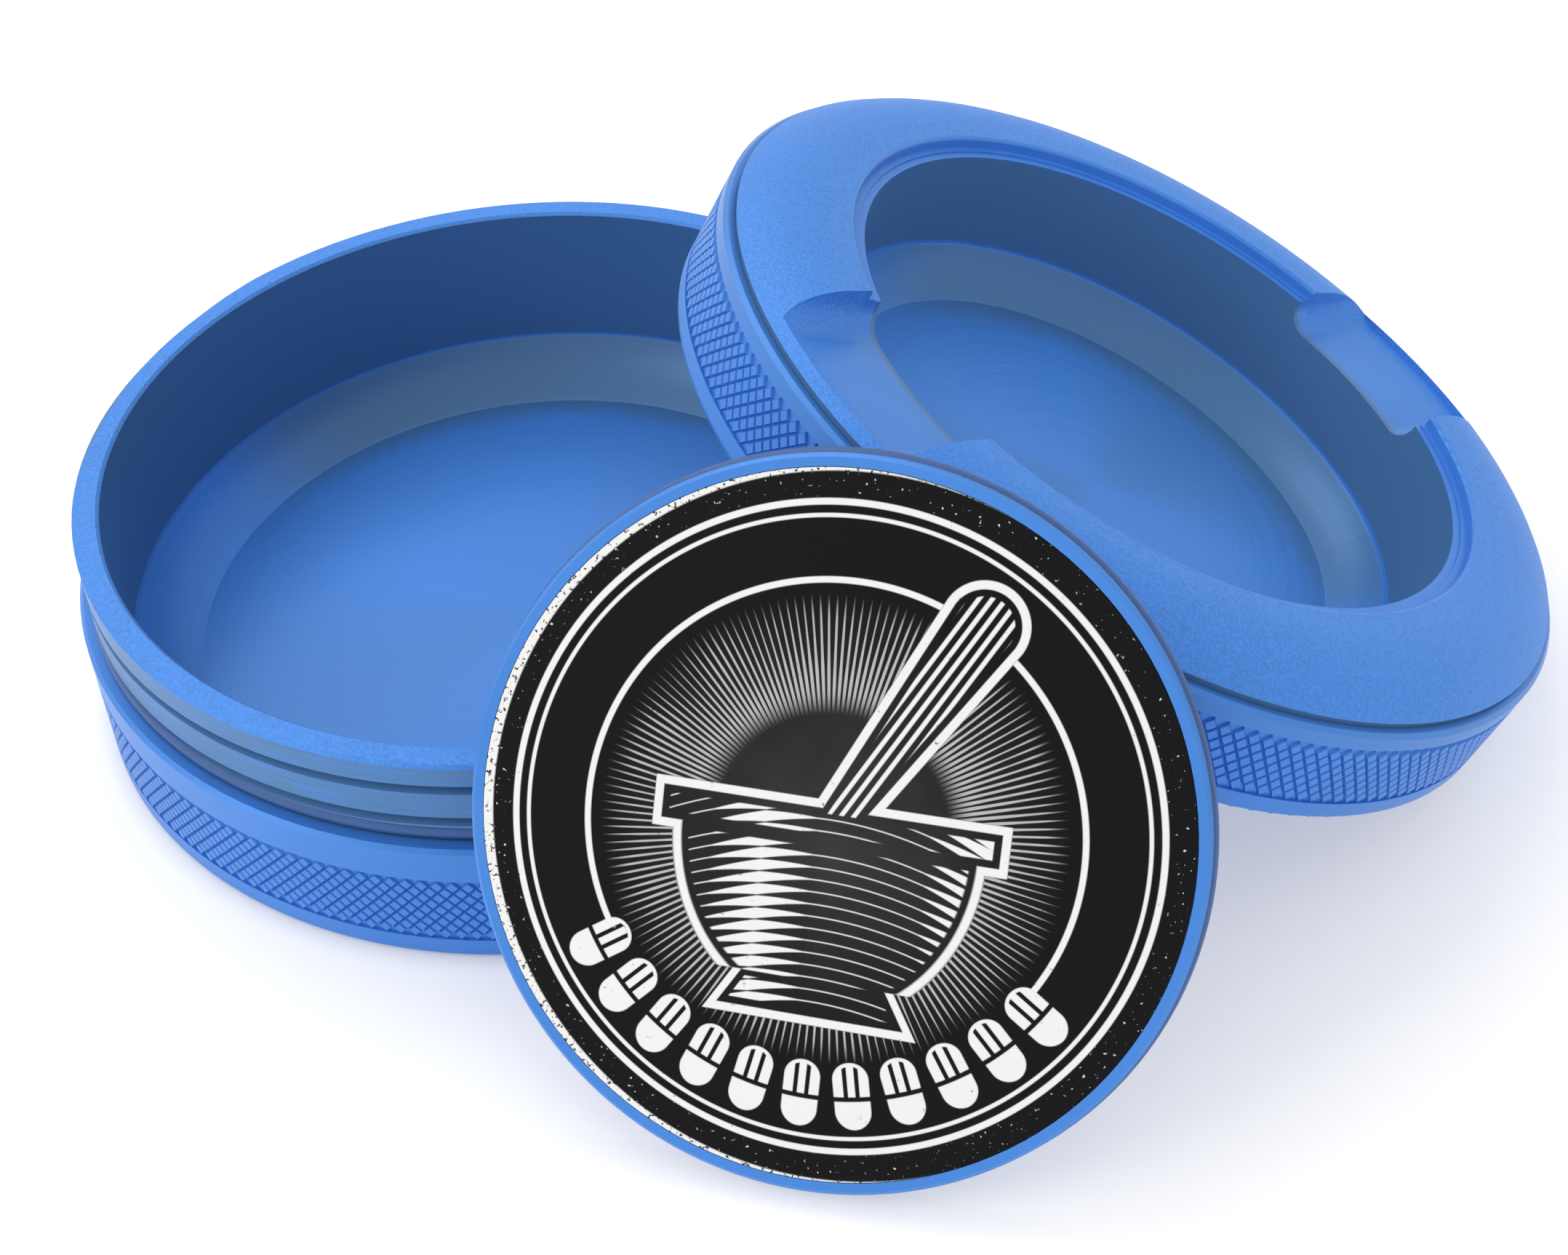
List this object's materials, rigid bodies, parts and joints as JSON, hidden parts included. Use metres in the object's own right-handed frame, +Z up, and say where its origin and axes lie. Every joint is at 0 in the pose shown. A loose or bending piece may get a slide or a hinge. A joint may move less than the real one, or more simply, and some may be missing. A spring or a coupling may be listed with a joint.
{
  "type": "screw-top pocket canister",
  "caption": "Screw-top pocket canister laid open: threaded cup, lid with a compartment in its top, and a round printed cover disc that closes the compartment.",
  "frame": {"origin": "centre of the cup's underside, on the surface it stands on", "axes": "+Z up along the cup's axis, +X from the cup towards the leaning lid, -Y towards the cover in front"},
  "size_m": [0.1137, 0.0934, 0.0407],
  "materials": {
    "anodised_aluminium": "satin blue anodise, fine turned and bead-blasted",
    "seal_rubber": "matt dark blue silicone rubber",
    "printed_badge": "black and white print under a clear gloss coat"
  },
  "bodies": {
    "cup": {"base_cup": "anodised_aluminium", "neck_o_ring": "seal_rubber"},
    "lid_seal": {"lid_liner": "seal_rubber"},
    "lid": {"lid_body": "anodised_aluminium"},
    "cover_seal": {"cover_o_ring": "seal_rubber"},
    "cover": {"cover_disc": "anodised_aluminium", "cover_badge": "printed_badge"}
  },
  "joints": [
    {"name": "lid_lift", "type": "slide", "parent": "cup", "child": "lid_seal", "axis": [0, 0.75, 0.6614], "range_m": [0, 0.06]},
    {"name": "lid_turn", "type": "hinge", "parent": "lid_seal", "child": "lid", "pos_m": [0.04392, -0.00366, 0.01622], "axis": [0.468, 0.0368, 0.8829], "continuous": true},
    {"name": "cover_lift", "type": "slide", "parent": "cup", "child": "cover_seal", "axis": [-0.2258, -0.7874, 0.5736], "range_m": [0, 0.05]},
    {"name": "cover_turn", "type": "hinge", "parent": "cover_seal", "child": "cover", "pos_m": [0.0218, -0.04372, 0.02115], "axis": [-0.2258, -0.7874, 0.5736], "continuous": true}
  ]
}
